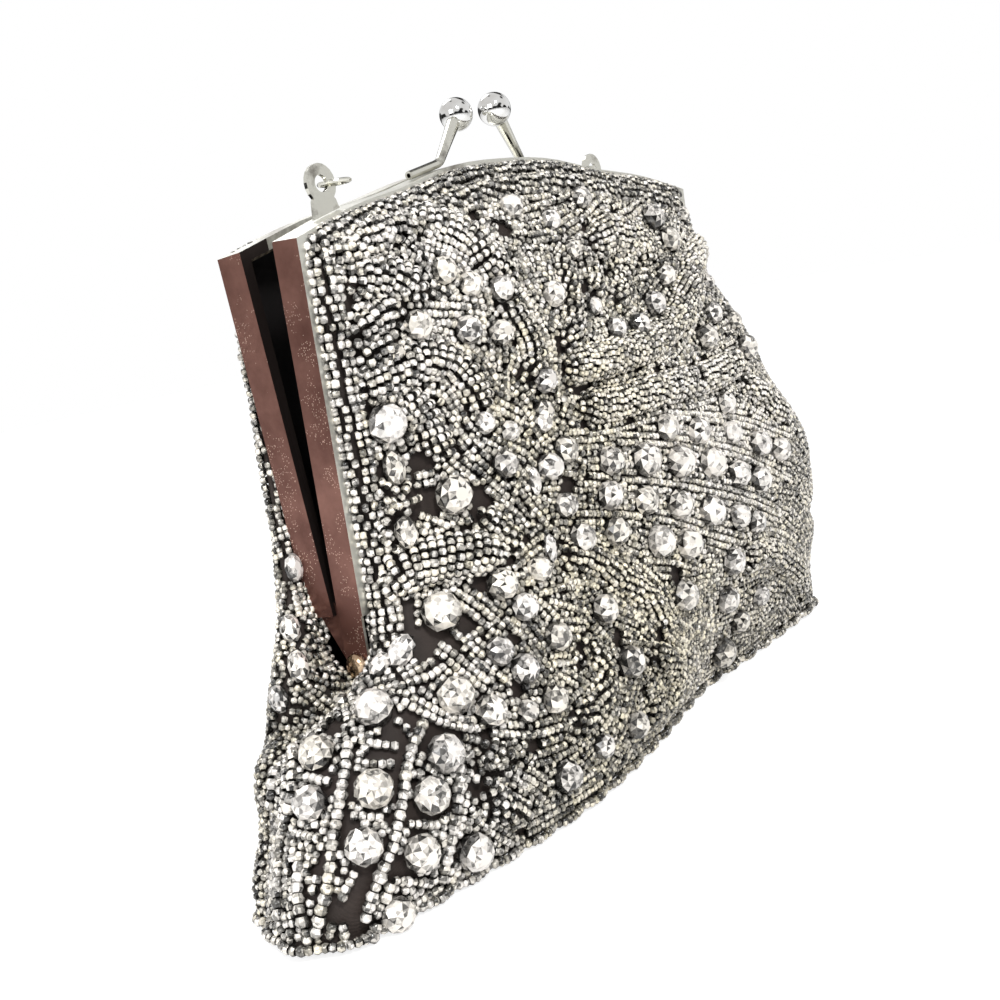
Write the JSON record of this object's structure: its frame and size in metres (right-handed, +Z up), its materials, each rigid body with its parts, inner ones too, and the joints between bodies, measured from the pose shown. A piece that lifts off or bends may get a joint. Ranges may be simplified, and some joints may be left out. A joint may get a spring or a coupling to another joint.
{
  "type": "beaded handbag",
  "caption": "Evening handbag with a beaded pouch hung in a two-jaw metal frame, a crossed ball clasp and two chain lugs.",
  "frame": {"origin": "middle of the bag's bounding box, on the surface that the bag stands on", "axes": "+X to the bag's right as seen from its front, -Y out of the front, +Z up"},
  "size_m": [0.239, 0.0519, 0.1719],
  "materials": {
    "frame_metal": "worn copper-brown plating",
    "silver_metal": "silver plating",
    "chrome_ball": "polished",
    "beadwork": "satin covered with clear glass beads",
    "satin_lining": "dark satin",
    "paper_cord": "twisted paper"
  },
  "bodies": {
    "pouch": {"lower_pouch": "beadwork", "lower_pouch_lining": "satin_lining"},
    "front_jaw": {"front_frame": "frame_metal", "left_hinge_rivet": "silver_metal", "right_hinge_rivet": "silver_metal", "left_hinge_washer": "silver_metal", "right_hinge_washer": "silver_metal", "front_clasp_stem": "silver_metal", "front_clasp_ball": "chrome_ball", "front_chain_lug": "silver_metal", "front_panel": "beadwork", "front_panel_lining": "satin_lining", "front_filler_cord": "paper_cord"},
    "back_jaw": {"back_frame": "frame_metal", "back_clasp_stem": "silver_metal", "back_clasp_ball": "chrome_ball", "back_chain_lug": "silver_metal", "back_panel": "beadwork", "back_panel_lining": "satin_lining", "back_filler_cord": "paper_cord"},
    "front_ring": {"front_jump_ring": "silver_metal"},
    "back_ring": {"back_jump_ring": "silver_metal"}
  },
  "joints": [
    {"name": "front_jaw_hinge", "type": "hinge", "parent": "pouch", "child": "front_jaw", "pos_m": [0, 0.00225, 0.047], "axis": [1, 0, 0], "range_deg": [0, 40]},
    {"name": "back_jaw_hinge", "type": "hinge", "parent": "pouch", "child": "back_jaw", "pos_m": [0, 0.00225, 0.047], "axis": [-1, 0, 0], "range_deg": [0, 40]},
    {"name": "front_ring_swing", "type": "hinge", "parent": "front_jaw", "child": "front_ring", "pos_m": [-0.0639, -0.00194, 0.15187], "axis": [0, -1, 0], "range_deg": [-45, 150]},
    {"name": "back_ring_swing", "type": "hinge", "parent": "back_jaw", "child": "back_ring", "pos_m": [0.0639, 0.01394, 0.15156], "axis": [0, 1, 0], "range_deg": [-45, 150]}
  ]
}
